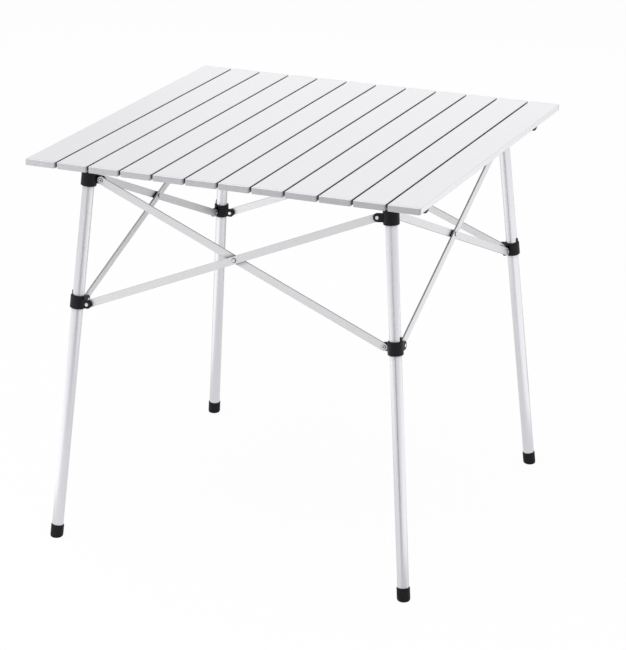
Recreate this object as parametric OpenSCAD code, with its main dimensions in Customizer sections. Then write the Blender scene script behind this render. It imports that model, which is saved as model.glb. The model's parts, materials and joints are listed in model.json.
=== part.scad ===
// Roll top camp table: a slatted aluminium top that rolls up, on a frame of four
// splayed legs that fold together on crossed bars. Millimetres, +Z up, ground at
// z = 0, the front looks along -Y and the slats run front to back.

/* [Table top] */
// Width of the top, across the slats
top_width = 700; // [600:10:900]
// Depth of the top, along the slats
top_depth = 700; // [600:10:900]
// Height of the top face above the ground
table_height = 688; // [600:1:780]
// Number of slats
slat_count = 12; // [10:1:14]
// Gap between two slats
slat_gap = 3.5; // [2:0.1:4.5]
// Thickness of a slat
slat_thickness = 10.5; // [8:0.5:14]
// Wall of the slat's extrusion
slat_wall = 0.9; // [0.8:0.1:1.6]
// Radius along a slat's long edges
slat_edge = 1; // [0.6:0.1:2]
// Inner webs in a slat
slat_webs = 2; // [1:1:4]
// Length of the end plug that shows past the extrusion
plug_flange = 5; // [4:0.5:8]
// Radius of the end plug's corners, seen from above
plug_corner = 3; // [1:0.5:4]
// Length of the end plug's tongues inside the slat
plug_tongue = 16; // [8:1:30]

/* [Cross rails] */
// Diameter of a cross rail under the slats
rail_d = 20; // [14:0.5:22]
// Wall of a cross rail
rail_wall = 1.2; // [0.8:0.1:2]
// Distance of a rail's end inside the edge of the top
rail_inset = 17; // [12:1:40]
// Length of the rail's end cap outside the tube
cap_flange = 6; // [4:0.5:10]
// Length of the end cap's plug inside the tube
cap_plug = 14; // [8:1:25]
// Rim of the end cap past the tube's own radius
cap_rim = 0.3; // [0.1:0.05:0.4]
// Length of a rail clip along the rail
clip_length = 18; // [12:1:24]
// Depth of a rail clip below the slat
clip_depth = 14; // [8:0.5:16]
// Thickness of a rail clip's cheek
clip_cheek = 2.5; // [1.5:0.5:4]
// Cut-off at the lower corners of that cheek
clip_corner = 4; // [1:0.5:5]

/* [Frame] */
// Distance between neighbouring leg axes at the hub pivots
hub_spread = 544; // [500:1:580]
// Distance between neighbouring leg axes at the ground
foot_spread = 650; // [600:1:690]
// Diameter of a leg tube
leg_d = 20; // [16:0.5:21]
// Wall of a leg tube
leg_wall = 1.5; // [1:0.1:2.5]
// Distance along the leg from the hub pivots down to the slider pivots
slider_drop = 216; // [170:1:260]
// Distance of each bar pivot from its leg's axis
pivot_reach = 21; // [20.5:0.5:26]

/* [Crossed bars] */
// Width of a bar
bar_width = 13; // [10:0.5:13]
// Thickness of a bar
bar_thickness = 3; // [2:0.5:5]
// Thickness of the spacer between two crossed bars
spacer_gap = 2; // [1.5:0.1:3]
// Diameter of that spacer
spacer_d = 14; // [10:0.5:16]
// Diameter of a rivet's shank
rivet_d = 4; // [3:0.1:5]
// Diameter of a rivet's head
rivet_head_d = 8; // [6.5:0.1:9]
// Height of a rivet's head
rivet_head = 1.3; // [0.8:0.1:2]
// Diameter of the flat crown on a rivet's head
rivet_crown_d = 4.4; // [3:0.1:6]
// Height of the straight rim of a rivet's head
rivet_rim = 0.5; // [0.2:0.1:0.7]
// Diameter of a rivet's closed-up tail
rivet_tail_d = 7.5; // [5.5:0.1:8]

/* [Plastic fittings] */
// Outer diameter of the upper hub's barrel
hub_d = 27; // [26:0.5:28]
// Height of the rail seat above the hub's pivots
hub_shoulder = 13.6; // [12.5:0.1:22]
// Depth of the hub's barrel below its pivots
hub_skirt = 12; // [10:0.5:16]
// Depth of the leg's socket above the hub's pivots
hub_socket = 9; // [4:0.5:10]
// Radius of the round end of an ear
ear_r = 7.5; // [6.5:0.5:9]
// Thickness of an ear
ear_thickness = 3.5; // [2.5:0.5:4]
// Outer diameter of the slider's barrel
slider_d = 26.5; // [24.5:0.1:27]
// Height of the slider's barrel
slider_height = 23; // [18:0.5:26]
// Height of the slider's tongue above its barrel
tongue_height = 7; // [4:0.5:10]
// Width of that tongue
tongue_width = 5; // [3:0.5:7]
// Thickness of that tongue
tongue_thickness = 1.5; // [1:0.1:2]
// Outer diameter of a foot
foot_d = 22.5; // [22:0.5:28]
// Height of a foot
foot_height = 22; // [16:0.5:30]
// Thickness of a foot's sole under the leg tube
foot_sole = 5; // [3:0.5:8]
// Chamfer on the edges of the plastic fittings
fitting_edge = 1; // [0.4:0.1:1.2]

/* [Clearances] */
// Between the slats and the cross rails under them
rail_clearance = 0.6; // [0.5:0.1:1]
// Between a cross rail and the hubs under it, and between a clip and its rail
seat_clearance = 0.3; // [0.2:0.05:0.5]
// Between a bar and the ear beside it
ear_clearance = 1.05; // [0.95:0.05:1.3]
// Between a spacer or a rivet's tail and the bar that turns on it
turn_clearance = 0.35; // [0.2:0.05:0.4]
// Around a slider's bore, all round the leg
slide_clearance = 0.3; // [0.2:0.05:0.4]
// Around a pushed-in piece, such as a plug in a tube
plug_clearance = 0.15; // [0.1:0.05:0.25]
// Around a rivet's shank in a bar that turns on it
pivot_clearance = 0.1; // [0.05:0.01:0.15]

/* [Hidden] */
$fn = 64;
slat_width = (top_width - (slat_count - 1) * slat_gap) / slat_count;
slat_pitch = slat_width + slat_gap;
slat_length = top_depth - 2 * plug_flange;
chamber_height = slat_thickness - 2 * slat_wall;
chamber_width = (slat_width - (slat_webs + 2) * slat_wall) / (slat_webs + 1);
slat_under = table_height - slat_thickness;

rail_z = slat_under - rail_clearance - rail_d / 2;
rail_half = top_width / 2 - rail_inset - cap_flange;
seat_z = rail_z - rail_d / 2 - seat_clearance;

// A leg leans out by the same slope in both directions. Its own frame has its origin on
// the leg's axis at the hub pivots, with Z up along the axis.
hub_z = seat_z - hub_shoulder;
lean = (foot_spread - hub_spread) / 2 / hub_z;
leg_tilt = atan(lean * sqrt(2));
leg_length = hub_z / cos(leg_tilt);
// In the leg's frame the two bar planes stand a little off a right angle.
ear_yaw = atan(1 / cos(leg_tilt)) - 45;
rail_y = hub_spread / 2 - lean * hub_shoulder;

// A side's plane holds both of its leg axes. In its own frame X runs along the side, Z up
// the plane and Y inwards, with the origin midway between the legs at the hub pivots.
side_tilt = atan(lean);
side_lean = atan(lean * cos(side_tilt));
upper_x = hub_spread / 2 - pivot_reach * cos(side_lean);
upper_z = -pivot_reach * sin(side_lean);
lower_x = upper_x + slider_drop * sin(side_lean);
lower_z = upper_z - slider_drop * cos(side_lean);
bar_length = norm([upper_x + lower_x, upper_z - lower_z]);
bar_slope = atan((upper_z - lower_z) / (upper_x + lower_x));
// The bars cross at this distance from their upper pivots.
crossing = bar_length * upper_x / (upper_x + lower_x);

// Layers of a crossed pair, measured from the side's plane.
bar_near = spacer_gap / 2;
bar_far = bar_near + bar_thickness;
ear_near = bar_far + ear_clearance;
ear_far = ear_near + ear_thickness;
bar_hole_d = rivet_d + 2 * pivot_clearance;
slider_bore_d = leg_d + 2 * slide_clearance;
cut = 1;

CORNERS = ["front_right", "back_right", "back_left", "front_left"];
SIDES = ["front", "right", "back", "left"];
// The back pair of bars turns on the two back hubs, so its crossing rivet ends in the outer bar.
OPEN_SIDE = 2;

function two_digits(i) = str(i < 9 ? "0" : "", i + 1);
function slat_name(i) = str("slat_", two_digits(i));
function plugs_name(i) = str("slat_end_plugs_", two_digits(i));
function clips_name(i) = str("rail_clips_", two_digits(i));

// Shared shapes

module rounded_rect(width, height, radius) {
    square([width - 2 * radius, height], center = true);
    square([width, height - 2 * radius], center = true);
    for (x = [-1, 1], y = [-1, 1])
        translate([x * (width / 2 - radius), y * (height / 2 - radius)]) circle(radius);
}

// An outline in the X and Z directions, given a length along Y that ends at y = 0.
module along_y(length) {
    rotate([90, 0, 0]) linear_extrude(length) children();
}

module tube_x(length, diameter, wall) {
    rotate([0, 90, 0]) difference() {
        cylinder(h = length, d = diameter, center = true);
        cylinder(h = length + cut, d = diameter - 2 * wall, center = true);
    }
}

// A barrel with chamfered ends, standing on its axis from z = low to z = high.
module barrel(low, high, diameter) {
    r = diameter / 2;
    rotate_extrude()
        polygon([[0, low], [r - fitting_edge, low], [r, low + fitting_edge],
                 [r, high - fitting_edge], [r - fitting_edge, high], [0, high]]);
}

// A rivet along +Y with its head beyond y = 0 and its shank behind it. A tail is the second,
// closed-up head, and its inner face lies at the end of the shank.
module rivet(shank, tail) {
    r = rivet_d / 2;
    head_r = rivet_head_d / 2;
    tail_r = rivet_tail_d / 2;
    tail_end = tail ? [[tail_r, -shank], [tail_r, -shank - rivet_rim], [r, -shank - rivet_head],
                       [0, -shank - rivet_head]] : [[0, -shank]];
    rotate([-90, 0, 0]) rotate_extrude()
        polygon(concat([[0, rivet_head], [rivet_crown_d / 2, rivet_head], [head_r, rivet_rim], [head_r, 0],
                        [r, 0], [r, -shank]], tail_end));
}

// Table top

module at_slat(i) {
    translate([(i - (slat_count - 1) / 2) * slat_pitch, 0, table_height - slat_thickness / 2]) children();
}

module chambers(inset) {
    for (i = [0 : slat_webs])
        translate([(i - slat_webs / 2) * (chamber_width + slat_wall), 0])
            square([chamber_width - 2 * inset, chamber_height - 2 * inset], center = true);
}

module slat(i) {
    color("whitesmoke") at_slat(i) translate([0, slat_length / 2, 0]) along_y(slat_length) difference() {
        rounded_rect(slat_width, slat_thickness, slat_edge);
        chambers(0);
    }
}

// One plug, its flange from y = 0 outwards and its tongues behind.
module slat_plug() {
    intersection() {
        translate([0, plug_flange, 0]) along_y(plug_flange)
            rounded_rect(slat_width, slat_thickness, slat_edge);
        linear_extrude(slat_thickness, center = true) {
            translate([-slat_width / 2, 0]) square([slat_width, plug_flange - plug_corner]);
            translate([plug_corner - slat_width / 2, 0]) square([slat_width - 2 * plug_corner, plug_flange]);
            for (x = [-1, 1])
                translate([x * (slat_width / 2 - plug_corner), plug_flange - plug_corner]) circle(plug_corner);
        }
    }
    along_y(plug_tongue) chambers(plug_clearance);
}

module slat_end_plugs(i) {
    color("silver") at_slat(i) for (turn = [0, 180])
        rotate([0, 0, turn]) translate([0, slat_length / 2, 0]) slat_plug();
}

module cross_rails() {
    color("lightgray") for (y = [-rail_y, rail_y])
        translate([0, y, rail_z]) tube_x(2 * rail_half, rail_d, rail_wall);
}

// One cap, its flange from x = 0 outwards and its plug behind.
module rail_cap() {
    flange_r = rail_d / 2 + cap_rim;
    plug_r = rail_d / 2 - rail_wall - plug_clearance;
    rotate([0, 90, 0]) rotate_extrude()
        polygon([[0, -cap_plug], [plug_r - fitting_edge, -cap_plug], [plug_r, fitting_edge - cap_plug], [plug_r, 0],
                 [flange_r, 0], [flange_r, cap_flange - 2 * fitting_edge],
                 [flange_r - 2 * fitting_edge, cap_flange], [0, cap_flange]]);
}

module rail_end_caps() {
    color("dimgray") for (y = [-rail_y, rail_y], turn = [0, 180])
        translate([0, y, rail_z]) rotate([0, 0, turn]) translate([rail_half, 0, 0]) rail_cap();
}

module clip_outline() {
    polygon([[0, clip_depth], [0, clip_corner], [clip_corner, 0], [clip_length - clip_corner, 0],
             [clip_length, clip_corner], [clip_length, clip_depth]]);
}

// Two cheeks under an end slat on either side of each rail.
module rail_clips(i) {
    inward = i == 0 ? 1 : -1;
    cheek_y = rail_d / 2 + seat_clearance;
    color("dimgray") at_slat(i)
        translate([inward * (slat_width - clip_length) / 2 - clip_length / 2, 0, -slat_thickness / 2 - clip_depth])
            for (rail = [-rail_y, rail_y], cheek_end = [-cheek_y, cheek_y + clip_cheek])
                translate([0, rail + cheek_end, 0]) along_y(clip_cheek) clip_outline();
}

// Legs and their fittings

module at_corner(i) {
    rotate([0, 0, 90 * i]) translate([hub_spread / 2, -hub_spread / 2, hub_z])
        rotate(a = -leg_tilt, v = [1, 1, 0]) children();
}

// Along the bar plane on the leg's left or right, seen from outside, with +Y outwards.
module toward_left() { rotate([0, 0, 180 + ear_yaw]) children(); }
module toward_right() { rotate([0, 0, 90 - ear_yaw]) mirror([0, 1, 0]) children(); }
module flip_inward(inward) { mirror([0, inward ? 1 : 0, 0]) children(); }

module ear(inward) {
    flip_inward(inward) translate([0, ear_far, 0]) along_y(ear_thickness) difference() {
        union() {
            translate([0, -ear_r]) square([pivot_reach, 2 * ear_r]);
            translate([pivot_reach, 0]) circle(ear_r);
        }
        translate([pivot_reach, 0]) circle(d = rivet_d + plug_clearance);
    }
}

module leg_tube(i) {
    tube_length = leg_length - foot_sole + hub_socket;
    color("silver") at_corner(i) translate([0, 0, hub_socket - tube_length]) difference() {
        cylinder(h = tube_length, d = leg_d);
        translate([0, 0, -cut]) cylinder(h = tube_length + 2 * cut, d = leg_d - 2 * leg_wall);
    }
}

module upper_hub(i) {
    color("dimgray") difference() {
        at_corner(i) difference() {
            union() {
                barrel(-hub_skirt, hub_shoulder + hub_d / 2, hub_d);
                toward_left() ear(inward = false);
                toward_right() ear(inward = true);
            }
            translate([0, 0, -hub_skirt - cut])
                cylinder(h = hub_skirt + hub_socket + plug_clearance + cut, d = leg_d + 2 * plug_clearance);
        }
        // flat seat for the rail
        translate([-foot_spread, -foot_spread, seat_z]) cube([2 * foot_spread, 2 * foot_spread, 2 * hub_d]);
    }
}

module hub_rivets(i) {
    color("lightgray") at_corner(i) {
        toward_left() hub_rivet(inward = false);
        toward_right() hub_rivet(inward = true);
    }
}

module hub_rivet(inward) {
    flip_inward(inward) translate([pivot_reach, ear_far, 0]) rivet(ear_far - bar_near + turn_clearance, true);
}

module foot(i) {
    color("dimgray") difference() {
        at_corner(i) translate([0, 0, -leg_length]) difference() {
            barrel(-foot_sole, foot_height, foot_d);
            translate([0, 0, foot_sole]) cylinder(h = foot_height, d = leg_d + 2 * plug_clearance);
        }
        // flat sole on the ground
        translate([-foot_spread, -foot_spread, -foot_height]) cube([2 * foot_spread, 2 * foot_spread, foot_height]);
    }
}

// A thin tongue beside the bore, on the side that looks outwards along X.
module slider_tongue(i) {
    rotate([0, 0, i % 2 == 0 ? 0 : -90]) linear_extrude(slider_height / 2 + tongue_height) intersection() {
        circle(d = slider_bore_d + 2 * tongue_thickness);
        translate([0, -tongue_width / 2]) square([slider_d, tongue_width]);
    }
}

module slider(i) {
    color("dimgray") at_corner(i) translate([0, 0, -slider_drop]) difference() {
        union() {
            barrel(-slider_height / 2, slider_height / 2, slider_d);
            toward_left() ear(inward = true);
            toward_right() ear(inward = false);
            slider_tongue(i);
        }
        translate([0, 0, -slider_height / 2 - cut])
            cylinder(h = slider_height + tongue_height + 2 * cut, d = slider_bore_d);
    }
}

// Crossed bars

module at_side(k) {
    rotate([0, 0, 90 * k]) translate([0, -hub_spread / 2, hub_z]) rotate([-side_tilt, 0, 0]) children();
}

// From a bar's upper pivot along its length. The inner bar starts on the left, seen from outside.
module on_bar(inner) {
    mirror([inner ? 0 : 1, 0, 0]) translate([-upper_x, 0, upper_z]) rotate([0, bar_slope, 0]) children();
}

module bar_outline() {
    difference() {
        union() {
            translate([0, -bar_width / 2]) square([bar_length, bar_width]);
            for (x = [0, bar_length]) translate([x, 0]) circle(d = bar_width);
        }
        for (x = [0, crossing, bar_length]) translate([x, 0]) circle(d = bar_hole_d);
    }
}

module inner_bar(k) {
    color("gainsboro") at_side(k) on_bar(true) translate([0, bar_far, 0]) along_y(bar_thickness) bar_outline();
}

module outer_bar(k) {
    open_end = k == OPEN_SIDE;
    color("gainsboro") at_side(k) on_bar(false) {
        translate([0, -bar_near, 0]) along_y(bar_thickness) bar_outline();
        translate([crossing, -bar_far - pivot_clearance, 0]) rotate([0, 0, 180])
            rivet(open_end ? bar_thickness : 2 * bar_far + pivot_clearance + turn_clearance, !open_end);
    }
}

module crossing_spacer(k) {
    height = spacer_gap - turn_clearance;
    color("dimgray") at_side(k) on_bar(false) translate([crossing, height - bar_near, 0]) along_y(height) difference() {
        circle(d = spacer_d);
        circle(d = bar_hole_d);
    }
}

// Nodes

for (i = [0 : slat_count - 1]) {
    slat(i);
    slat_end_plugs(i);
}
cross_rails();
rail_end_caps();
for (i = [0, slat_count - 1])
    rail_clips(i);
for (i = [0 : 3]) {
    leg_tube(i);
    upper_hub(i);
    hub_rivets(i);
    foot(i);
    slider(i);
    inner_bar(i);
    outer_bar(i);
    crossing_spacer(i);
}
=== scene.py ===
"""Dresses the roll top camp table and lights it in a white studio.

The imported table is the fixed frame. Here the moulded pieces, tubes and bars get soft edges,
the rivets are set, and every piece gets its finish. Metres, +Z up, the ground is at z = 0
and the front looks along -Y.
"""
from __future__ import annotations

import json
import logging
import math
from collections.abc import Callable
from dataclasses import dataclass, field
from enum import Enum
from typing import Any, ClassVar

import bmesh
import bpy
from mathutils import Matrix, Vector

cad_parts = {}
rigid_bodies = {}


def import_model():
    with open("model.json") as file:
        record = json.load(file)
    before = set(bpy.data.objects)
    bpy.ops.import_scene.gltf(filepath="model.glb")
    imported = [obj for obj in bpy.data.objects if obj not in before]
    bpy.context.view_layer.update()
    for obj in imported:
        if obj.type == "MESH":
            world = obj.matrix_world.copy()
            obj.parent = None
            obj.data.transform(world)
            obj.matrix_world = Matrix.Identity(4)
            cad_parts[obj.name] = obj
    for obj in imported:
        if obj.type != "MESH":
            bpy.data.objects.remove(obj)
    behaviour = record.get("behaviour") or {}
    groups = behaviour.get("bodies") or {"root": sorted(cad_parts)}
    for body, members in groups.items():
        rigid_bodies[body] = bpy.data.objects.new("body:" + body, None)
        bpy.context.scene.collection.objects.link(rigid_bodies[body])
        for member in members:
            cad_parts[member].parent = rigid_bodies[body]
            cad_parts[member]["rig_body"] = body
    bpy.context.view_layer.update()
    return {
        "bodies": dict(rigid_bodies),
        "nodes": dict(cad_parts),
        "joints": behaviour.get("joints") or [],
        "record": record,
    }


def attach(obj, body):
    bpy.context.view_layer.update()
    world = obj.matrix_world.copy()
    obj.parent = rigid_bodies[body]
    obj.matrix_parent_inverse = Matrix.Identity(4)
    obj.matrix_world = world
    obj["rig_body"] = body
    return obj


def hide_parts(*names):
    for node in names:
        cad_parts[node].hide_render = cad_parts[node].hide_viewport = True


MM = 0.001
# Corners of a mesh that lie closer than this are one.
WELD = 0.001 * MM
# What a mesh carries for its finish: a point's place in the piece's own frame, and a rivet's painted shade.
GRAIN = "grain"
RIVET_SHADE = "rivet_shade"
# What the points for the rivets carry: the direction of each end, and whether it is a tail.
FACING = "facing"
IS_TAIL = "tail"

Tree = bpy.types.NodeTree
Node = bpy.types.Node
Socket = bpy.types.NodeSocket
Form = Callable[[bmesh.types.BMesh], None]
Line = tuple[tuple[float, float], ...]

log = logging.getLogger("camp_table")


def linear(colour: str) -> tuple[float, float, float, float]:
    """Turn an sRGB hex colour into linear light.

    Args:
        colour: Six hex digits after a hash sign.

    Returns:
        Red, green, blue and an alpha of 1.
    """
    shares = [int(colour[i:i + 2], 16) / 255 for i in (1, 3, 5)]
    light = [s / 12.92 if s <= 0.04045 else ((s + 0.055) / 1.055) ** 2.4 for s in shares]
    return (*light, 1.0)


def add(tree: Tree, kind: str, inputs: dict[Any, Any] | None = None, **settings: Any) -> Node:
    """Add one node with its settings and links.

    Args:
        tree: Tree that gets the node.
        kind: Blender's name for the node type.
        inputs: Values or sockets by the input's name or number; a socket is linked.
        settings: The node's own attributes.

    Returns:
        The new node.
    """
    node = tree.nodes.new(kind)
    for name, value in settings.items():
        setattr(node, name, value)
    for key, value in (inputs or {}).items():
        if isinstance(value, Socket):
            tree.links.new(value, node.inputs[key])
        else:
            node.inputs[key].default_value = value
    return node


def turned(degrees: float, axis: Any) -> Matrix:
    """Give a turn about an axis through the origin."""
    return Matrix.Rotation(math.radians(degrees), 4, axis)


class Place(Enum):
    """Where a finish reads the place of a point."""

    OBJECT = "the table's own frame"
    GRAIN = "the piece's own frame, kept on its mesh with Z along its length"


@dataclass(frozen=True)
class Finish:
    """What a surface is made of, and how it was worked.

    Attributes:
        name: Common name of the real finish.
        colour: Its colour, as an sRGB hex value.
        metallic: 1 for bare metal, 0 for plastic.
        roughness: How far it scatters what it mirrors, from 0 to 1.
        place: Where its pattern reads the place of a point.
        specular: How strongly plastic mirrors, where 0.5 leaves that to its IOR.
        crevice_shade: How strongly shade is painted into its joints and crevices.
        tint: Share by which the colour darkens where the pattern of its tone is 0.
        gloss: How far that pattern swings the roughness either way.
        depth: Depth of the marks that its making leaves.
        relief: Share of that depth that the light shows.
    """

    name: str
    colour: str
    metallic: float
    roughness: float
    place: Place = Place.OBJECT
    specular: float = 0.5
    crevice_shade: float = 1.3
    tint: float = 0.12
    gloss: float = 0.06
    depth: float = 0.05 * MM
    relief: float = 0.5

    # Painted shade: a surface darkens in joints and crevices, where other faces lie within this distance of
    # it.
    CREVICE: ClassVar[float] = 9 * MM
    CREVICE_RAYS: ClassVar[int] = 8

    def material(self) -> bpy.types.Material:
        """Build the material once.

        Returns:
            The material, which every piece of this finish shares.
        """
        found = bpy.data.materials.get(self.name)
        if found:
            return found
        material = bpy.data.materials.new(self.name)
        material.use_nodes = True
        tree = material.node_tree
        shader = tree.nodes["Principled BSDF"]
        shader.inputs["Metallic"].default_value = self.metallic
        shader.inputs["Specular IOR Level"].default_value = self.specular
        if self.place is Place.GRAIN:
            spot = add(tree, "ShaderNodeAttribute", attribute_name=GRAIN).outputs["Vector"]
        else:
            spot = add(tree, "ShaderNodeTexCoord").outputs["Object"]
        tone, height = self.marks(tree, spot)
        # The tone sets the colour, and shade that the finish paints on darkens it.
        self.vary(tree, shader, tone, self.painted_shade(tree, spot))
        bump = add(tree, "ShaderNodeBump", {
            "Height": height, "Distance": self.depth, "Strength": self.relief})
        tree.links.new(bump.outputs["Normal"], shader.inputs["Normal"])
        return material

    def marks(self, tree: Tree, spot: Socket) -> tuple[Socket, Socket]:
        """Add the marks that the making leaves.

        Args:
            tree: The material's tree.
            spot: Socket with the place of the point, in metres.

        Returns:
            Sockets with the pattern of the tone and the height of the marks, both from 0 to 1.
        """
        raise NotImplementedError

    def painted_shade(self, tree: Tree, spot: Socket) -> Socket | None:
        """Give the share of its colour that painted shade leaves at a place, or None for all of it."""
        return None

    def vary(self, tree: Tree, shader: Node, tone: Socket, shade: Socket | None) -> None:
        """Let the pattern of the tone shift the colour and the roughness a little, and paint shade into
        crevices.

        Args:
            tree: The material's tree.
            shader: Its Principled BSDF.
            tone: Socket with the pattern, from 0 to 1.
            shade: Socket with the share of its colour that the surface keeps where shade is painted on it.
        """
        full = linear(self.colour)
        dark = (*(c * (1 - self.tint) for c in full[:3]), 1.0)
        clean = add(tree, "ShaderNodeMix", {"Factor": tone, "A": dark, "B": full}, data_type="RGBA")
        # Painted shade: where other faces lie close, the colour is darkened, as less light reaches there.
        sky = add(tree, "ShaderNodeAmbientOcclusion", {"Distance": self.CREVICE}, samples=self.CREVICE_RAYS)
        darkened = add(tree, "ShaderNodeMath", {0: sky.outputs["AO"], 1: self.crevice_shade}, operation="POWER")
        if shade is not None:
            darkened = add(tree, "ShaderNodeMath", {0: darkened.outputs[0], 1: shade}, operation="MULTIPLY")
        colour = add(tree, "ShaderNodeMix", {
            "Factor": 1.0, "A": clean.outputs["Result"], "B": darkened.outputs[0]},
            data_type="RGBA", blend_type="MULTIPLY")
        rough = add(tree, "ShaderNodeMapRange", {
            "Value": tone, "To Min": self.roughness - self.gloss, "To Max": self.roughness + self.gloss})
        tree.links.new(colour.outputs["Result"], shader.inputs["Base Color"])
        tree.links.new(rough.outputs["Result"], shader.inputs["Roughness"])


@dataclass(frozen=True)
class DrawnAluminium(Finish):
    """Satin anodised aluminium that came through a die: soft sheen with faint lines along its length.

    Attributes:
        line_pitch: Distance between die lines. Real ones are under 0.2 mm, so these are drawn coarser.
        line_length: Length over which a die line fades.
        cloud_size: Width of the clouds that the anodising bath leaves in the tone.
        cloud_share: Share of the clouds in the tone, beside the lines.
        along: Axis of the place that the lines follow.
    """

    tint: float = 0.09
    depth: float = 0.012 * MM
    relief: float = 0.6
    line_pitch: float = 1.4 * MM
    line_length: float = 220 * MM
    cloud_size: float = 90 * MM
    cloud_share: float = 0.45
    along: int = 2

    def marks(self, tree: Tree, spot: Socket) -> tuple[Socket, Socket]:
        """Draw die lines, with clouds over them in the tone.

        Args:
            tree: The material's tree.
            spot: Socket with the place of the point, in metres.

        Returns:
            Sockets with the pattern of the tone and the height of the lines.
        """
        stretch = [1 / self.line_pitch] * 3
        stretch[self.along] = 1 / self.line_length
        drawn = add(tree, "ShaderNodeMapping", {"Vector": spot, "Scale": stretch}).outputs["Vector"]
        lines = add(tree, "ShaderNodeTexNoise", {
            "Vector": drawn, "Scale": 1.0, "Detail": 2.0}).outputs["Fac"]
        clouds = add(tree, "ShaderNodeTexNoise", {
            "Vector": spot, "Scale": 1 / self.cloud_size, "Detail": 3.0}).outputs["Fac"]
        tone = add(tree, "ShaderNodeMix", {"Factor": self.cloud_share, "A": lines, "B": clouds})
        return tone.outputs["Result"], lines


@dataclass(frozen=True)
class SlitAluminium(DrawnAluminium):
    """Aluminium strip slit from a sheet: satin faces, with a thin dark line of painted shade along each
    edge.

    Attributes:
        half_width: Distance of an edge from the strip's middle line.
        edge_band: Width that counts as the edge.
        edge_shade_share: Share of its colour that an edge keeps under the painted shade.
    """

    half_width: float = 6.5 * MM
    edge_band: float = 0.12 * MM
    edge_shade_share: float = 0.54

    def painted_shade(self, tree: Tree, spot: Socket) -> Socket | None:
        """Paint shade on the two slit edges, which lie across the Y axis of the strip's own frame.

        Args:
            tree: The material's tree.
            spot: Socket with the place of the point, in metres.

        Returns:
            Socket with the share of its colour that the strip keeps there.
        """
        across = add(tree, "ShaderNodeSeparateXYZ", {0: spot}).outputs["Y"]
        away = add(tree, "ShaderNodeMath", {0: across}, operation="ABSOLUTE").outputs[0]
        edge_start = self.half_width - self.edge_band
        return add(tree, "ShaderNodeMapRange", {
            "Value": away, "From Min": edge_start - self.edge_band, "From Max": edge_start,
            "To Min": 1.0, "To Max": self.edge_shade_share}).outputs["Result"]


@dataclass(frozen=True)
class MouldedPlastic(Finish):
    """Nylon or rubber from a spark-eroded mould: a fine pebbled grain that breaks up the sheen.

    Attributes:
        grain_size: Width of a pebble. Real ones are about 0.1 mm, so these are drawn coarser.
        patch_size: Width of the patches that handling has polished.
    """

    tint: float = 0.14
    gloss: float = 0.07
    depth: float = 0.03 * MM
    grain_size: float = 0.9 * MM
    patch_size: float = 14 * MM

    def marks(self, tree: Tree, spot: Socket) -> tuple[Socket, Socket]:
        """Pebble the surface, and let handling polish it in patches.

        Args:
            tree: The material's tree.
            spot: Socket with the place of the point, in metres.

        Returns:
            Sockets with the pattern of the patches and the height of the pebbles.
        """
        pebbles = add(tree, "ShaderNodeTexVoronoi", {"Vector": spot, "Scale": 1 / self.grain_size})
        patches = add(tree, "ShaderNodeTexNoise", {
            "Vector": spot, "Scale": 1 / self.patch_size, "Detail": 2.0})
        return patches.outputs["Fac"], pebbles.outputs["Distance"]


@dataclass(frozen=True)
class TopLitNylon(MouldedPlastic):
    """Grey nylon, its top painted light and its sides shaded: from above it runs on from the slat, its end
    grey.

    Attributes:
        bare_share: Share of the top's brightness that the sides keep under the painted shade.
        top_light_reach: Upward part of a face's normal at which the painted light starts and at which it is
            full.
    """

    depth: float = 0.015 * MM
    bare_share: float = 0.58
    top_light_reach: tuple[float, float] = (0.6, 0.9)

    def painted_shade(self, tree: Tree, spot: Socket) -> Socket | None:
        """Keep the painted light to the faces that look up when the top lies flat, and paint the rest in
        shade.

        Args:
            tree: The material's tree.
            spot: Socket with the place of the point, which the painted light doesn't depend on.

        Returns:
            Socket with the share of the top's brightness that a face has.
        """
        normal = add(tree, "ShaderNodeTexCoord").outputs["Normal"]
        upward = add(tree, "ShaderNodeSeparateXYZ", {0: normal}).outputs["Z"]
        start, full = self.top_light_reach
        return add(tree, "ShaderNodeMapRange", {
            "Value": upward, "From Min": start, "From Max": full,
            "To Min": self.bare_share, "To Max": 1.0}).outputs["Result"]


@dataclass(frozen=True)
class PlatedSteel(Finish):
    """Bright zinc plated steel, pressed into shape: mirror-like, with small dents from the press.

    Attributes:
        dent_size: Width of a dent.
        shaded_share: Share of its colour that the metal keeps where shade is painted on it.
    """

    dent_size: float = 1.6 * MM
    shaded_share: float = 0.16

    def marks(self, tree: Tree, spot: Socket) -> tuple[Socket, Socket]:
        """Dent the surface softly.

        Args:
            tree: The material's tree.
            spot: Socket with the place of the point, in metres.

        Returns:
            The same socket twice, as the dents shift the tone too.
        """
        dents = add(tree, "ShaderNodeTexNoise", {"Vector": spot, "Scale": 1 / self.dent_size, "Detail": 1.0})
        return dents.outputs["Fac"], dents.outputs["Fac"]

    def painted_shade(self, tree: Tree, spot: Socket) -> Socket | None:
        """Paint shade on the rim of each rivet end and in the hollow of its tail."""
        rivet_shade = add(tree, "ShaderNodeAttribute", attribute_name=RIVET_SHADE).outputs["Fac"]
        return add(tree, "ShaderNodeMapRange", {
            "Value": rivet_shade, "To Min": self.shaded_share}).outputs["Result"]


# Pale satin metal: the slats' die lines run front to back, the rails' from side to side, and the
# legs' and bars' along each piece.
SLAT_FINISH = DrawnAluminium("satin anodised aluminium slat", "#E9E9EB", 1.0, 0.40, along=1)
RAIL_FINISH = DrawnAluminium("satin anodised aluminium rail", "#DCDCDF", 1.0, 0.36, along=0)
LEG_FINISH = DrawnAluminium("satin anodised aluminium tube", "#E2E2E6", 1.0, 0.33, Place.GRAIN)
BAR_FINISH = SlitAluminium("satin anodised aluminium bar", "#E2E2E4", 1.0, 0.42, Place.GRAIN)
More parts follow.
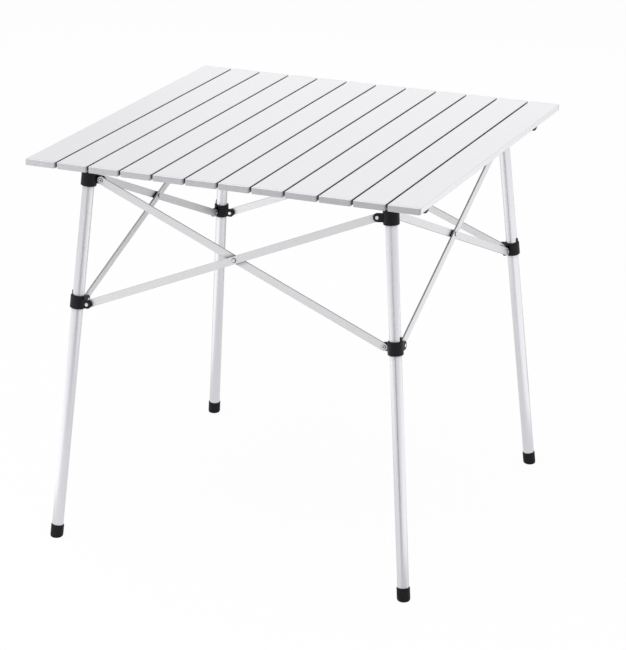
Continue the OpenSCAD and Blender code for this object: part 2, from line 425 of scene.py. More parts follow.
# Plastic with a low sheen: grey plugs with painted light on top, near black fittings, and feet that are
# duller still.
PLUG_FINISH = TopLitNylon("moulded grey nylon", "#F1F1F6", 0.0, 0.50, crevice_shade=0.5)
BLACK_FINISH = MouldedPlastic("moulded black nylon", "#17161B", 0.0, 0.46, specular=0.18)
FOOT_FINISH = MouldedPlastic("moulded black rubber", "#1A191E", 0.0, 0.62, specular=0.18,
                             grain_size=1.2 * MM)
# Small bright spots, each in a ring of painted shade.
RIVET_FINISH = PlatedSteel("bright plated steel", "#E2E2E4", 1.0, 0.20)

CORNERS = ("front_right", "back_right", "back_left", "front_left")
SIDES = ("front", "right", "back", "left")
# The side whose crossing is open in the model, so that each bar there carries its own end of the rivet.
OPEN_SIDE = "back"


class BarKind(Enum):
    """Which of a side's two crossed bars, with the word for it in names."""

    INNER = "inner"
    OUTER = "outer"

    @property
    def hand(self) -> int:
        """Where its upper end is, seen from outside: -1 on the left, 1 on the right."""
        return -1 if self is BarKind.INNER else 1


@dataclass(frozen=True)
class FoldingFrame:
    """Sizes of the folding frame, and the frames of its corners and sides.

    Attributes:
        hub_spread: Distance between neighbouring leg axes at the hubs' pivots.
        foot_spread: The same distance at the ground.
        hub_height: Height of the leg axes' points at the hubs' pivots.
        slider_drop: Distance along a leg from the hub's pivots down to the slider's.
        pivot_reach: Distance of a pivot from its leg's axis.
        bar_thickness: Thickness of a bar.
        spacer_gap: Thickness of the spacer between two crossed bars.
        ear_clearance: Gap between a bar and the ear beside it.
        ear_thickness: Thickness of an ear.
        turn_clearance: Gap between a rivet's tail and the bar that turns under it.
        pivot_clearance: Gap under the head of a crossing's rivet.
    """

    hub_spread: float = 544 * MM
    foot_spread: float = 650 * MM
    hub_height: float = 643 * MM
    slider_drop: float = 216 * MM
    pivot_reach: float = 21 * MM
    bar_thickness: float = 3 * MM
    spacer_gap: float = 2 * MM
    ear_clearance: float = 1.05 * MM
    ear_thickness: float = 3.5 * MM
    turn_clearance: float = 0.35 * MM
    pivot_clearance: float = 0.1 * MM

    @property
    def lean(self) -> float:
        """Slope by which a leg leans out, the same in both directions."""
        return (self.foot_spread - self.hub_spread) / 2 / self.hub_height

    @property
    def side_slant(self) -> float:
        """Angle of a leg within its side's plane, in radians."""
        return math.atan(self.lean * math.cos(math.atan(self.lean)))

    @property
    def bar_near(self) -> float:
        """Distance of a bar's near face from its side's plane."""
        return self.spacer_gap / 2

    @property
    def bar_far(self) -> float:
        """Distance of a bar's far face from its side's plane."""
        return self.bar_near + self.bar_thickness

    @property
    def ear_far(self) -> float:
        """Distance of an ear's far face from its side's plane."""
        return self.bar_far + self.ear_clearance + self.ear_thickness

    def corner(self, index: int) -> Matrix:
        """Give a leg's own frame, with Z up its axis and the origin at the hub's pivots.

        Args:
            index: Number of the corner, in the order of CORNERS.

        Returns:
            The matrix from that frame to the table's.
        """
        half = self.hub_spread / 2
        tilt = math.degrees(math.atan(self.lean * math.sqrt(2)))
        leg = Matrix.Translation((half, -half, self.hub_height)) @ turned(-tilt, Vector((1, 1, 0)))
        return turned(90 * index, "Z") @ leg

    def side(self, index: int) -> Matrix:
        """Give a side's own frame, with X along it, Z up its plane and Y inwards.

        Args:
            index: Number of the side, in the order of SIDES.

        Returns:
            The matrix from that frame to the table's.
        """
        plane = Matrix.Translation((0, -self.hub_spread / 2, self.hub_height))
        return turned(90 * index, "Z") @ plane @ turned(-math.degrees(math.atan(self.lean)), "X")

    def bar_ends(self, kind: BarKind) -> tuple[Vector, Vector]:
        """Find the pivots at a bar's two ends.

        Args:
            kind: Which of the side's bars.

        Returns:
            The upper and the lower pivot, in the side's frame.
        """
        slant = self.side_slant
        across = Vector((math.cos(slant), 0, math.sin(slant)))
        down = Vector((math.sin(slant), 0, -math.cos(slant)))
        high = Vector((self.hub_spread / 2, 0, 0)) - self.pivot_reach * across
        low = high + self.slider_drop * down
        return Vector((kind.hand * high.x, 0, high.z)), Vector((-kind.hand * low.x, 0, low.z))

    def crossing(self) -> Vector:
        """Find the point where a side's bars cross.

        Returns:
            The point, in the side's frame.
        """
        high, low = self.bar_ends(BarKind.OUTER)
        share = high.x / (high.x - low.x)
        return Vector((0, 0, high.z + (low.z - high.z) * share))

    def bar(self, index: int, kind: BarKind) -> Matrix:
        """Give a bar's own frame, with Z along its length from the upper pivot down.

        Args:
            index: Number of its side, in the order of SIDES.
            kind: Which of the side's bars.

        Returns:
            The matrix from that frame to the table's.
        """
        high, low = self.bar_ends(kind)
        turn = (low - high).to_track_quat("Z", "Y").to_matrix().to_4x4()
        return self.side(index) @ Matrix.Translation(high) @ turn


@dataclass
class Workshop:
    """Makes finished pieces from the frame's nodes.

    Attributes:
        made: Names of the pieces made so far.
    """

    frame: dict[str, Any]
    made: list[str] = field(default_factory=list)

    # Faces that meet flatter than the first angle are one. Edges sharper than the second are rounded,
    # in so many steps, and edges sharper than the third keep their crease.
    FLAT_ANGLE: ClassVar[float] = math.radians(0.5)
    CORNER_ANGLE: ClassVar[float] = math.radians(40)
    EDGE_STEPS: ClassVar[int] = 2
    CREASE_ANGLE: ClassVar[float] = math.radians(50)

    def body_of(self, node: str) -> str:
        """Name the body that carries a node."""
        return self.frame["nodes"][node]["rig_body"]

    def paint(self, node: str, finish: Finish) -> None:
        """Give a finish to a node that keeps its own shape.

        Args:
            node: Name of the node.
            finish: What it is made of.
        """
        mesh = self.frame["nodes"][node].data
        mesh.materials.clear()
        mesh.materials.append(finish.material())
        log.info("painted %s with %s", node, finish.name)

    def soften(self, node: str, edge: float, finish: Finish, slot: str, own_frame: Matrix | None = None,
               largest_only: bool = False, form: Form | None = None) -> None:
        """Make a copy of a node with rounded edges, which then stands for the node.

        Args:
            node: Name of the node.
            edge: Width of the rounding.
            finish: What the copy is made of.
            slot: The record's slot for that finish.
            own_frame: The piece's own frame, where its finish follows its length.
            largest_only: True to leave out all but the node's largest solid.
            form: Reshapes the copy before its edges are rounded.
        """
        shape = bmesh.new()
        shape.from_mesh(self.frame["nodes"][node].data)
        bmesh.ops.remove_doubles(shape, verts=shape.verts, dist=WELD)
        if largest_only:
            self.keep_largest(shape)
        bmesh.ops.dissolve_limit(shape, angle_limit=self.FLAT_ANGLE, verts=shape.verts, edges=shape.edges)
        if form is not None:
            form(shape)
        self.round_corners(shape, edge)
        mesh = bpy.data.meshes.new(node + "_finished")
        shape.to_mesh(mesh)
        shape.free()
        if own_frame is not None:
            self.mark_grain(mesh, own_frame)
        mesh.materials.append(finish.material())
        piece = self.settle(mesh)
        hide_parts(node)
        self.carry(piece, self.body_of(node), slot)

    def keep_largest(self, shape: bmesh.types.BMesh) -> None:
        """Delete every solid of a shape but the one that reaches furthest.

        Args:
            shape: The shape, with its doubles merged.
        """
        left, solids = set(shape.verts), []
        while left:
            waiting, solid = [left.pop()], []
            while waiting:
                vert = waiting.pop()
                solid.append(vert)
                near = {e.other_vert(vert) for e in vert.link_edges} & left
                left -= near
                waiting.extend(near)
            solids.append(solid)
        solids.sort(key=lambda verts: max((v.co - verts[0].co).length for v in verts))
        bmesh.ops.delete(shape, geom=[v for solid in solids[:-1] for v in solid], context="VERTS")

    def round_corners(self, shape: bmesh.types.BMesh, edge: float) -> None:
        """Round the outer corners of a shape.

        Args:
            shape: The shape.
            edge: Width of the rounding.
        """
        outer = [e for e in shape.edges if e.is_manifold and e.is_convex]
        sharp = [e for e in outer if e.calc_face_angle() > self.CORNER_ANGLE]
        bmesh.ops.bevel(shape, geom=sharp, offset=edge, offset_type="OFFSET", segments=self.EDGE_STEPS,
                        profile=0.5, affect="EDGES", clamp_overlap=True)

    def mark_grain(self, mesh: bpy.types.Mesh, own_frame: Matrix) -> None:
        """Keep each point's place in the piece's own frame on its mesh.

        Args:
            mesh: The piece's mesh, at its place in the table.
            own_frame: The matrix from the piece's own frame to the table's.
        """
        to_own = own_frame.inverted()
        grain = mesh.attributes.new(GRAIN, "FLOAT_VECTOR", "POINT")
        for point, spot in zip(mesh.vertices, grain.data):
            spot.vector = to_own @ point.co

    def settle(self, mesh: bpy.types.Mesh) -> bpy.types.Object:
        """Smooth a mesh between its sharp edges, with flat faces kept flat.

        Args:
            mesh: The mesh to smooth.

        Returns:
            A new object at the origin that holds it.
        """
        self.smooth(mesh, self.CREASE_ANGLE)
        piece = bpy.data.objects.new(mesh.name, mesh)
        bpy.context.scene.collection.objects.link(piece)
        weigh = piece.modifiers.new("flat faces", "WEIGHTED_NORMAL")
        weigh.keep_sharp = True
        self.bake(piece)
        return piece

    def smooth(self, mesh: bpy.types.Mesh, crease: float) -> None:
        """Shade a mesh smooth.

        Args:
            mesh: The mesh.
            crease: Angle past which an edge stays sharp, in radians.
        """
        for face in mesh.polygons:
            face.use_smooth = True
        mesh.set_sharp_from_angle(angle=crease)

    def bake(self, piece: bpy.types.Object) -> None:
        """Turn a piece's modifiers into its plain mesh.

        Args:
            piece: The piece.
        """
        plain = bpy.data.meshes.new_from_object(piece.evaluated_get(bpy.context.evaluated_depsgraph_get()))
        piece.modifiers.clear()
        piece.data = plain
        plain.name = piece.name

    def carry(self, piece: bpy.types.Object, body: str, slot: str) -> None:
        """Let a piece ride on a body, and report it.

        Args:
            piece: The finished piece.
            body: Name of the body.
            slot: The record's slot for its finish; not used.
        """
        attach(piece, body)
        self.made.append(piece.name)
        log.info("made %s on %s", piece.name, body)


class RivetPart(Enum):
    """The two ends of a rivet, with the word for each in the names of its sizes."""

    HEAD = "Head"
    TAIL = "Tail"


@dataclass(frozen=True)
class RivetEnd:
    """One end of a rivet at its place.

    Attributes:
        part: Which end it is.
        seat: Middle of the face that it sits on.
        facing: Direction that it faces.
    """

    part: RivetPart
    seat: Vector
    facing: Vector


@dataclass
class RivetSetter:
    """Sets the domed heads and rolled tails of the rivets, one mesh for each body.

    Attributes:
        shop: Where pieces are made.
        head_width: Diameter of a rivet's head.
        head_height: Height of a head.
        tail_width: Diameter of a rivet's rolled tail.
        tail_height: Height of a tail.
        places: Rivet ends noted so far, by the body that carries them.
    """

    shop: Workshop
    head_width: float = 8 * MM
    head_height: float = 1.3 * MM
    tail_width: float = 7.5 * MM
    tail_height: float = 1.2 * MM
    places: dict[str, list[RivetEnd]] = field(default_factory=dict)

    # Height of each end from its rim in to the middle, as shares.
    PROFILES: ClassVar[dict[RivetPart, Line]] = {
        RivetPart.HEAD: ((0.0, 0.0), (0.06, 0.45), (0.3, 0.82), (0.65, 0.97), (1.0, 1.0)),
        RivetPart.TAIL: ((0.0, 0.0), (0.1, 0.6), (0.32, 1.0), (0.55, 0.8), (0.75, 0.3), (1.0, 0.2)),
    }
    # How much of its colour the metal keeps under painted shade, in the same way.
    RIVET_SHADES: ClassVar[dict[RivetPart, Line]] = {
        RivetPart.HEAD: ((0.0, 0.0), (0.24, 0.0), (0.34, 1.0), (1.0, 1.0)),
        RivetPart.TAIL: ((0.0, 0.0), (0.1, 0.0), (0.2, 1.0), (0.58, 1.0), (0.72, 0.0), (1.0, 0.0)),
    }
    # Steps around a rivet end and from its rim in to the middle, and the angle past which an edge is sharp.
    ROUND_STEPS: ClassVar[int] = 24
    RING_STEPS: ClassVar[int] = 10
    CREASE_ANGLE: ClassVar[float] = math.radians(60)

    def place(self, body: str, end: RivetEnd) -> None:
        """Note a rivet end and the body that carries it."""
        self.places.setdefault(body, []).append(end)

    def graph(self, tree: Tree, share: Socket, points: Line, straight: bool) -> Socket:
        """Add a curve through points.

        Args:
            tree: The tree to build in.
            share: Socket that the curve reads.
            points: The curve's points, from left to right.
            straight: True for straight lines between the points.

        Returns:
            Socket with the curve's height.
        """
        curve = add(tree, "ShaderNodeFloatCurve", {"Value": share})
        line = curve.mapping.curves[0]
        for at, rise in points[1:-1]:
            line.points.new(at, rise)
        line.points[0].location = points[0]
        line.points[-1].location = points[-1]
        if straight:
            for point in line.points:
                point.handle_type = "VECTOR"
        curve.mapping.update()
        return curve.outputs[0]

    def end_shape(self, tree: Tree, part: RivetPart, width: Socket, height: Socket) -> Socket:
        """Form one rivet end from a ringed cylinder.

        Args:
            tree: The tree to build in.
            part: Which end it is.
            width: Socket with its diameter.
            height: Socket with its height.

        Returns:
            Socket with the closed mesh, which stands on z = 0.
        """
        # The blank is 1 wide and 1 high, and its rings become the rings from the rim in to the middle.
        blank = add(tree, "GeometryNodeMeshCylinder", {
            "Vertices": self.ROUND_STEPS, "Side Segments": self.RING_STEPS, "Radius": 0.5, "Depth": 1.0},
            fill_type="NGON").outputs["Mesh"]
        position = add(tree, "GeometryNodeInputPosition").outputs[0]
        spot = add(tree, "ShaderNodeSeparateXYZ", {0: position}).outputs
        share = add(tree, "ShaderNodeMath", {0: spot["Z"], 1: 0.5}, operation="ADD").outputs[0]
        left = add(tree, "ShaderNodeMath", {0: 1.0, 1: share}, operation="SUBTRACT").outputs[0]
        reach = add(tree, "ShaderNodeMath", {0: left, 1: width}, operation="MULTIPLY").outputs[0]
        # Painted shade on each end's rim and in a tail's hollow, kept on the mesh for the finish.
        unshaded = self.graph(tree, share, self.RIVET_SHADES[part], True)
        marked = add(tree, "GeometryNodeStoreNamedAttribute", {
            "Geometry": blank, "Name": RIVET_SHADE, "Value": unshaded}).outputs[0]
        outline = self.graph(tree, share, self.PROFILES[part], False)
        rise = add(tree, "ShaderNodeMath", {0: outline, 1: height}, operation="MULTIPLY").outputs[0]
        flat = {axis: add(tree, "ShaderNodeMath", {0: spot[axis], 1: reach}, operation="MULTIPLY").outputs[0]
                for axis in "XY"}
        bent = add(tree, "ShaderNodeCombineXYZ", {**flat, "Z": rise}).outputs[0]
        formed = add(tree, "GeometryNodeSetPosition", {"Geometry": marked, "Position": bent}).outputs[0]
        return add(tree, "GeometryNodeMergeByDistance", {"Geometry": formed, "Distance": WELD}).outputs[0]

    def tree(self) -> Tree:
        """Build the tree that sets a head or a tail on every point.

        Returns:
            The tree, with the sizes as its inputs.
        """
        tree = bpy.data.node_groups.new("set rivet ends", "GeometryNodeTree")
        face = tree.interface
        face.new_socket("Points", in_out="INPUT", socket_type="NodeSocketGeometry")
        for name in ("Head width", "Head height", "Tail width", "Tail height"):
            face.new_socket(name, in_out="INPUT", socket_type="NodeSocketFloat")
        face.new_socket("Metal", in_out="INPUT", socket_type="NodeSocketMaterial")
        face.new_socket("Rivets", in_out="OUTPUT", socket_type="NodeSocketGeometry")
        given = add(tree, "NodeGroupInput").outputs
        facing = add(tree, "GeometryNodeInputNamedAttribute", {"Name": FACING}, data_type="FLOAT_VECTOR")
        is_tail = add(tree, "GeometryNodeInputNamedAttribute", {"Name": IS_TAIL}, data_type="BOOLEAN")
        is_head = add(tree, "FunctionNodeBooleanMath", {0: is_tail.outputs[0]}, operation="NOT")
        turn = add(tree, "FunctionNodeAlignRotationToVector", {"Vector": facing.outputs[0]}, axis="Z")
        joined = add(tree, "GeometryNodeJoinGeometry")
        for part, chosen in ((RivetPart.HEAD, is_head), (RivetPart.TAIL, is_tail)):
            shape = self.end_shape(tree, part, given[part.value + " width"], given[part.value + " height"])
            placed = add(tree, "GeometryNodeInstanceOnPoints", {
                "Points": given["Points"], "Selection": chosen.outputs[0], "Instance": shape,
                "Rotation": turn.outputs[0]})
            tree.links.new(placed.outputs[0], joined.inputs[0])
        real = add(tree, "GeometryNodeRealizeInstances", {0: joined.outputs[0]}).outputs[0]
        coated = add(tree, "GeometryNodeSetMaterial", {"Geometry": real, "Material": given["Metal"]})
        add(tree, "NodeGroupOutput", {"Rivets": coated.outputs[0]})
        return tree

    def points(self, name: str, ends: list[RivetEnd]) -> bpy.types.Mesh:
        """Make the points that a body's rivet ends are set on.

        Args:
            name: Name of the mesh.
            ends: The rivet ends.

        Returns:
            A mesh of loose points, each with its direction and its kind.
        """
        mesh = bpy.data.meshes.new(name)
        mesh.from_pydata([end.seat for end in ends], [], [])
        mesh.attributes.new(FACING, "FLOAT_VECTOR", "POINT")
        mesh.attributes.new(IS_TAIL, "BOOLEAN", "POINT")
        for i, end in enumerate(ends):
            mesh.attributes[FACING].data[i].vector = end.facing
            mesh.attributes[IS_TAIL].data[i].value = end.part is RivetPart.TAIL
        return mesh

    def set_all(self) -> None:
        """Make the rivets of each body."""
        tree = self.tree()
        inputs = {
            "Head width": self.head_width, "Head height": self.head_height,
            "Tail width": self.tail_width, "Tail height": self.tail_height,
            "Metal": RIVET_FINISH.material(),
        }
        sockets = {s.name: s.identifier for s in tree.interface.items_tree if s.in_out == "INPUT"}
        for body, ends in self.places.items():
            piece = bpy.data.objects.new(body + "_rivets", self.points(body + "_rivet_points", ends))
            bpy.context.scene.collection.objects.link(piece)
            setter = piece.modifiers.new("rivets", "NODES")
            setter.node_group = tree
            for name, value in inputs.items():
                setter[sockets[name]] = value
            self.shop.bake(piece)
            self.shop.smooth(piece.data, self.CREASE_ANGLE)
            if body.startswith("leg_"):
                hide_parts("hub_rivets_" + body.removeprefix("leg_"))
            self.shop.carry(piece, body, "rivet")


@dataclass
class TableTop:
    """The rolling top: slats with end plugs, and the rails, caps and clips under them.

    Attributes:
        shop: Where pieces are made.
        slat_count: Number of slats.
        plug_edge: Rounding of a plug's edges.
        cap_edge: Rounding of a rail cap's edges.
        clip_edge: Rounding of a rail clip's edges.
    """

    shop: Workshop
    slat_count: int = 12
    plug_edge: float = 0.5 * MM
    cap_edge: float = 0.6 * MM
    clip_edge: float = 0.5 * MM

    def build(self) -> None:
        """Finish every piece of the top."""
        for number in range(1, self.slat_count + 1):
            self.shop.paint(f"slat_{number:02d}", SLAT_FINISH)
            self.shop.soften(f"slat_end_plugs_{number:02d}", self.plug_edge, PLUG_FINISH, "slat_end_plug")
        self.shop.paint("cross_rails", RAIL_FINISH)
        self.shop.soften("rail_end_caps", self.cap_edge, BLACK_FINISH, "black_plastic")
        for number in (1, self.slat_count):
            self.shop.soften(f"rail_clips_{number:02d}", self.clip_edge, BLACK_FINISH, "black_plastic")


@dataclass
class CornerLeg:
    """One leg: its tube, hub, foot and slider.

    Attributes:
        shop: Where pieces are made.
        sizes: The frame that it belongs to.
        index: Number of the corner, in the order of CORNERS.
        tube_edge: Rounding of the tube's edges.
        hub_edge: Rounding of the hub's edges.
        slider_edge: Rounding of the slider's edges.
        foot_edge: Rounding of the foot's edges.
        foot_width: Diameter of the foot.
        foot_rim: Depth below the foot's top that counts as its rim.
        foot_lip: Distance by which the rim is drawn up the tube.
        sole_round: Radius of the rounding between the foot's side and its sole.
    """

    shop: Workshop
    sizes: FoldingFrame
    index: int
    tube_edge: float = 0.4 * MM
    hub_edge: float = 0.8 * MM
    slider_edge: float = 0.7 * MM
    foot_edge: float = 0.9 * MM
    foot_width: float = 22.5 * MM
    foot_rim: float = 1.5 * MM
    foot_lip: float = 2 * MM
    sole_round: float = 4 * MM

    # Heights at which the sole's rounding bends, as shares of it.
    SOLE_CUTS: ClassVar[tuple[float, ...]] = (0.1, 0.25, 0.45, 0.7, 1.0)

    def build(self) -> None:
        """Finish the leg's pieces."""
        corner = CORNERS[self.index]
        own = self.sizes.corner(self.index)
        self.shop.soften("leg_tube_" + corner, self.tube_edge, LEG_FINISH, "leg_tube", own_frame=own)
        self.shop.soften("upper_hub_" + corner, self.hub_edge, BLACK_FINISH, "black_plastic")
        self.shop.soften("slider_" + corner, self.slider_edge, BLACK_FINISH, "black_plastic")
        self.shop.soften("foot_" + corner, self.foot_edge, FOOT_FINISH, "foot_rubber", form=self.form_foot)

    def form_foot(self, shape: bmesh.types.BMesh) -> None:
        """Draw a foot's rim up the tube and round its sole in, as on a moulded foot.

        Args:
            shape: The foot, at its place in the table.
        """
        own = self.sizes.corner(self.index)
        hub, axis = own.translation, own.to_3x3() @ Vector((0, 0, 1))
        along = [(v.co - hub).dot(axis) for v in shape.verts]
        top = max(along)
        for vert, place in zip(shape.verts, along):
            if place > top - self.foot_rim:
                vert.co += axis * self.foot_lip
        for share in self.SOLE_CUTS:
            bmesh.ops.bisect_plane(shape, geom=[*shape.verts, *shape.edges, *shape.faces],
                                   plane_co=(0, 0, share * self.sole_round), plane_no=(0, 0, 1))
        for vert in shape.verts:
            left = self.sole_round - vert.co.z
            if left > 0:
                middle = hub + axis * ((vert.co.z - hub.z) / axis.z)
                reach = self.foot_width / 2 - (self.sole_round - math.sqrt(self.sole_round ** 2 - left ** 2))
                offset = vert.co - middle
                if offset.length > reach:
                    vert.co = middle + offset * (reach / offset.length)


@dataclass
class CrossedBars:
    """One side's pair of bars, with the spacer between them and the ends of their rivets.

    Attributes:
        shop: Where pieces are made.
        sizes: The frame that they belong to.
        rivets: Where rivet ends are noted.
        index: Number of the side, in the order of SIDES.
        bar_edge: Rounding of a bar's edges.
    """

    shop: Workshop
    sizes: FoldingFrame
    rivets: RivetSetter
    index: int
    bar_edge: float = 0.7 * MM

    def build(self) -> None:
        """Finish the bars and note where their rivets go."""
        side = SIDES[self.index]
        for kind in BarKind:
            own = self.sizes.bar(self.index, kind)
            # An outer bar's node holds the crossing's rivet too, which is set with the others.
            self.shop.soften(f"{kind.value}_bar_{side}", self.bar_edge, BAR_FINISH, "bar",
                             own_frame=own, largest_only=True)
        self.shop.paint("crossing_spacer_" + side, BLACK_FINISH)
        self.note_rivets(side)

    def note_rivets(self, side: str) -> None:
        """Note both ends of the side's five rivets.

        Args:
            side: Name of the side.
        """
        sizes = self.sizes
        left, right = CORNERS[self.index - 1], CORNERS[self.index]
        hub_tail = sizes.bar_near - sizes.turn_clearance
        for kind in BarKind:
            hub, slider = (left, right) if kind is BarKind.INNER else (right, left)
            upper, lower = sizes.bar_ends(kind)
            # The inner bar's ears lie inside it and the outer bar's outside, so the depth turns over.
            inward = -kind.hand
            self.note("leg_" + hub, RivetPart.HEAD, upper, inward * sizes.ear_far, inward)
            self.note("leg_" + hub, RivetPart.TAIL, upper, inward * hub_tail, -inward)
            self.note("slider_" + slider, RivetPart.HEAD, lower, inward * sizes.ear_far, inward)
            self.note(f"{side}_{kind.value}_bar", RivetPart.TAIL, lower, inward * sizes.bar_near, -inward)
        middle = sizes.crossing()
        tail_kind = BarKind.INNER if side == OPEN_SIDE else BarKind.OUTER
        head_depth = -sizes.bar_far - sizes.pivot_clearance
        tail_depth = sizes.bar_far + sizes.turn_clearance
        self.note(f"{side}_{BarKind.OUTER.value}_bar", RivetPart.HEAD, middle, head_depth, -1)
        self.note(f"{side}_{tail_kind.value}_bar", RivetPart.TAIL, middle, tail_depth, 1)

    def note(self, body: str, part: RivetPart, pivot: Vector, depth: float, facing: int) -> None:
        """Note one rivet end, given in the side's frame.

        Args:
            body: The body that carries it.
            part: Which end it is.
            pivot: The pivot, in the side's plane.
            depth: Distance of its seat inwards from that plane.
            facing: 1 to face inwards, -1 to face outwards.
        """
        plane = self.sizes.side(self.index)
        seat = plane @ (pivot + Vector((0, depth, 0)))
        self.rivets.place(body, RivetEnd(part, seat, plane.to_3x3() @ Vector((0, facing, 0))))


@dataclass(frozen=True)
class SoftBox:
    """One soft lamp of the studio. A board lies on the floor and shines up, for the metal to mirror.

    Attributes:
        name: Name of the lamp.
        place: Its middle.
        width: Its first side.
        height: Its second side.
        power: Its power, in watts.
        aim: The point that it faces.
        mirrored: False where it only lights, and no metal mirrors it.
    """

    name: str
    place: tuple[float, float, float]
    width: float
    height: float
    power: float
    aim: tuple[float, float, float] = (0.0, 0.0, 0.45)
    mirrored: bool = True


@dataclass(frozen=True)
class Flag:
    """One dark cloth over the floor, which only the metal mirrors.

    Attributes:
        name: Name of the cloth.
        low: Its corner with the least X and Y.
        high: The corner across from that.
        colour: Its colour, as an sRGB hex value.
    """

    name: str
    low: tuple[float, float]
    high: tuple[float, float]
    colour: str


@dataclass
class Studio:
    """White studio: a floor that runs into a white background, soft lamps, dark flags and the camera.

    Attributes:
        ambient: Strength of the world's light.
        floor_colour: Colour of the floor's paint, as an sRGB hex value.
        floor_glow: Share of plain white in the floor as the camera sees it; the rest takes the shadow.
        mirrored_glow: The same share as the metal mirrors it.
        floor_half: Half the floor's width.
        flag_height: Height of the flags over the floor.
        felt_roughness: Roughness of the flags' cloth.
        lamps: The soft lamps.
        flags: The dark cloths.
        camera_place: Place of the camera, as fitted to the photograph's perspective like the next four.
        azimuth: Its turn about the upright, in degrees.
        elevation: Angle by which it looks down, in degrees.
        roll: Its turn about its own axis, in degrees.
        focal_length: Its focal length, in millimetres.
        sensor_width: Width of its sensor, in millimetres.
        view_reach: Distance past which it sees nothing.
    """

    ambient: float = 0.5
    floor_colour: str = "#F6F6F6"
    floor_glow: float = 0.96
    mirrored_glow: float = 0.6
    floor_half: float = 15.0
    flag_height: float = 10 * MM
    felt_roughness: float = 0.9
    lamps: tuple[SoftBox, ...] = (
        SoftBox("left_board", (-1.35, -0.6, 0.02), 1.7, 1.9, 4.0, aim=(-1.35, -0.6, 1.0)),
        SoftBox("right_board", (1.65, 1.2, 0.02), 2.3, 3.8, 8.9, aim=(1.65, 1.2, 1.0)),
        SoftBox("rear_softbox", (-0.6, 3.4, 0.9), 2.6, 1.4, 5.0),
        SoftBox("ceiling_panel", (0.0, -0.8, 4.2), 6.0, 6.0, 130.0, mirrored=False),
        SoftBox("front_left_softbox", (-0.9, -1.0, 0.5), 0.6, 0.6, 4.2,
                aim=(-0.32, -0.35, 0.68), mirrored=False),
    )
    # The leg flags draw the dark line down the legs, and the bar flag greys the left bars' inner faces.
    flags: tuple[Flag, ...] = (
        Flag("low_leg_flag", (0.3, -0.65), (0.6, -0.33), "#DCDCDE"),
        Flag("near_leg_flag", (0.3, -1.2), (0.65, -0.65), "#A8A8AA"),
        Flag("middle_leg_flag", (0.3, -2.4), (0.85, -1.2), "#3A3A3C"),
        Flag("far_leg_flag", (0.45, -6.0), (1.4, -2.4), "#3A3A3C"),
        Flag("bar_flag", (0.14, 0.7), (0.7, 3.0), "#9C9C9E"),
    )
    camera_place: tuple[float, float, float] = (1.7478, -4.0782, 1.9079)
    azimuth: float = 22.94
    elevation: float = 19.547
    roll: float = 0.294
    focal_length: float = 153.26
    sensor_width: float = 36.0
    view_reach: float = 100.0

    def seen(self, tree: Tree, directly: float, mirrored: float, otherwise: float) -> Socket:
        """Give a socket that depends on how a background is seen.

        Args:
            tree: A world's or material's tree.
            directly: Its value for the camera's own rays.
            mirrored: Its value where metal or glass shows the background.
            otherwise: Its value for rays that only carry light.

        Returns:
            The socket.
        """
        path = add(tree, "ShaderNodeLightPath").outputs
        shiny = add(tree, "ShaderNodeMath", {
            0: path["Is Glossy Ray"], 1: path["Is Transmission Ray"]}, operation="MAXIMUM").outputs[0]
        in_metal = add(tree, "ShaderNodeMath", {
            0: shiny, 1: mirrored - otherwise, 2: otherwise}, operation="MULTIPLY_ADD").outputs[0]
        in_all = add(tree, "ShaderNodeMath", {
            0: path["Is Camera Ray"], 1: directly - otherwise, 2: in_metal}, operation="MULTIPLY_ADD")
        return in_all.outputs[0]

    def white_world(self) -> None:
        """Make the world white to look at, with a plain level of light."""
        world = bpy.data.worlds.new("white_studio")
        world.use_nodes = True
        tree = world.node_tree
        back = tree.nodes["Background"]
        back.inputs["Color"].default_value = (1, 1, 1, 1)
        tree.links.new(self.seen(tree, 1.0, 1.0, self.ambient), back.inputs["Strength"])
        bpy.context.scene.world = world

    def sheet(self, name: str, low: tuple[float, float], high: tuple[float, float],
              height: float) -> bpy.types.Object:
        """Lay a flat sheet that belongs to the studio.

        Args:
            name: Name of the sheet.
            low: Its corner with the least X and Y.
            high: The corner across from that.
            height: Its Z.

        Returns:
            The sheet, without a material.
        """
        mesh = bpy.data.meshes.new(name)
        corners = [(low[0], low[1]), (high[0], low[1]), (high[0], high[1]), (low[0], high[1])]
        mesh.from_pydata([(x, y, height) for x, y in corners], [], [(0, 1, 2, 3)])
        laid = bpy.data.objects.new(name, mesh)
        bpy.context.scene.collection.objects.link(laid)
        return laid

    def floor(self) -> None:
        """Lay the pale floor, which keeps the table's shadow."""
        half = self.floor_half
        floor = self.sheet("studio_floor", (-half, -half), (half, half), 0.0)
        material = bpy.data.materials.new("white painted floor")
        material.use_nodes = True
        tree = material.node_tree
        tree.nodes.clear()
        paint = add(tree, "ShaderNodeBsdfDiffuse", {"Color": linear(self.floor_colour)})
        glow = add(tree, "ShaderNodeEmission", {"Strength": 1.0})
        share = self.seen(tree, self.floor_glow, self.mirrored_glow, 0.0)
        mix = add(tree, "ShaderNodeMixShader", {0: share, 1: paint.outputs[0], 2: glow.outputs[0]})
        add(tree, "ShaderNodeOutputMaterial", {"Surface": mix.outputs[0]})
        floor.data.materials.append(material)

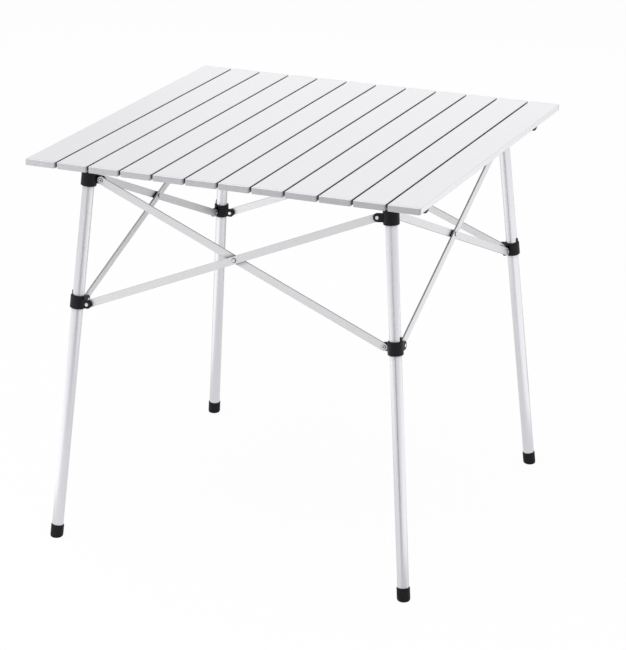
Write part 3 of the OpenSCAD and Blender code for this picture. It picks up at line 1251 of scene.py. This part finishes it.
    def lay_flags(self) -> None:
        """Lay the dark cloths, which neither the camera nor the light sees."""
        for flag in self.flags:
            cloth = bpy.data.materials.new(flag.name + " felt")
            cloth.use_nodes = True
            shader = cloth.node_tree.nodes["Principled BSDF"]
            shader.inputs["Base Color"].default_value = linear(flag.colour)
            shader.inputs["Roughness"].default_value = self.felt_roughness
            laid = self.sheet(flag.name, flag.low, flag.high, self.flag_height)
            laid.data.materials.append(cloth)
            laid.visible_camera = False
            laid.visible_diffuse = False
            laid.visible_transmission = False
            laid.visible_shadow = False

    def light(self) -> None:
        """Set up the soft lamps."""
        for box in self.lamps:
            lamp = bpy.data.lights.new(box.name, "AREA")
            lamp.shape = "RECTANGLE"
            lamp.size = box.width
            lamp.size_y = box.height
            lamp.energy = box.power
            holder = bpy.data.objects.new(box.name, lamp)
            holder.location = box.place
            holder.rotation_euler = (Vector(box.aim) - holder.location).to_track_quat("-Z", "Y").to_euler()
            holder.visible_camera = False
            holder.visible_glossy = box.mirrored
            bpy.context.scene.collection.objects.link(holder)

    def camera(self) -> None:
        """Set up the camera at the photograph's viewing angle."""
        data = bpy.data.cameras.new("studio_camera")
        data.sensor_fit = "HORIZONTAL"
        data.sensor_width = self.sensor_width
        data.lens = self.focal_length
        data.clip_end = self.view_reach
        camera = bpy.data.objects.new("studio_camera", data)
        level = turned(self.azimuth, "Z") @ turned(90 - self.elevation, "X") @ turned(self.roll, "Z")
        camera.matrix_world = Matrix.Translation(self.camera_place) @ level
        bpy.context.scene.collection.objects.link(camera)
        bpy.context.scene.camera = camera

    def build(self) -> None:
        """Set up the whole studio."""
        self.camera()
        self.white_world()
        self.floor()
        self.lay_flags()
        self.light()
        bpy.context.scene.view_settings.view_transform = "Standard"


def main() -> None:
    """Build the studio and every piece of the table."""
    logging.basicConfig(level=logging.INFO, format="%(message)s")
    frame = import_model()
    Studio().build()
    shop = Workshop(frame)
    sizes = FoldingFrame()
    rivets = RivetSetter(shop)
    TableTop(shop).build()
    for index in range(len(CORNERS)):
        CornerLeg(shop, sizes, index).build()
    for index in range(len(SIDES)):
        CrossedBars(shop, sizes, rivets, index).build()
    rivets.set_all()
    log.info("%d finished pieces", len(shop.made))


if __name__ == "__main__":
    main()
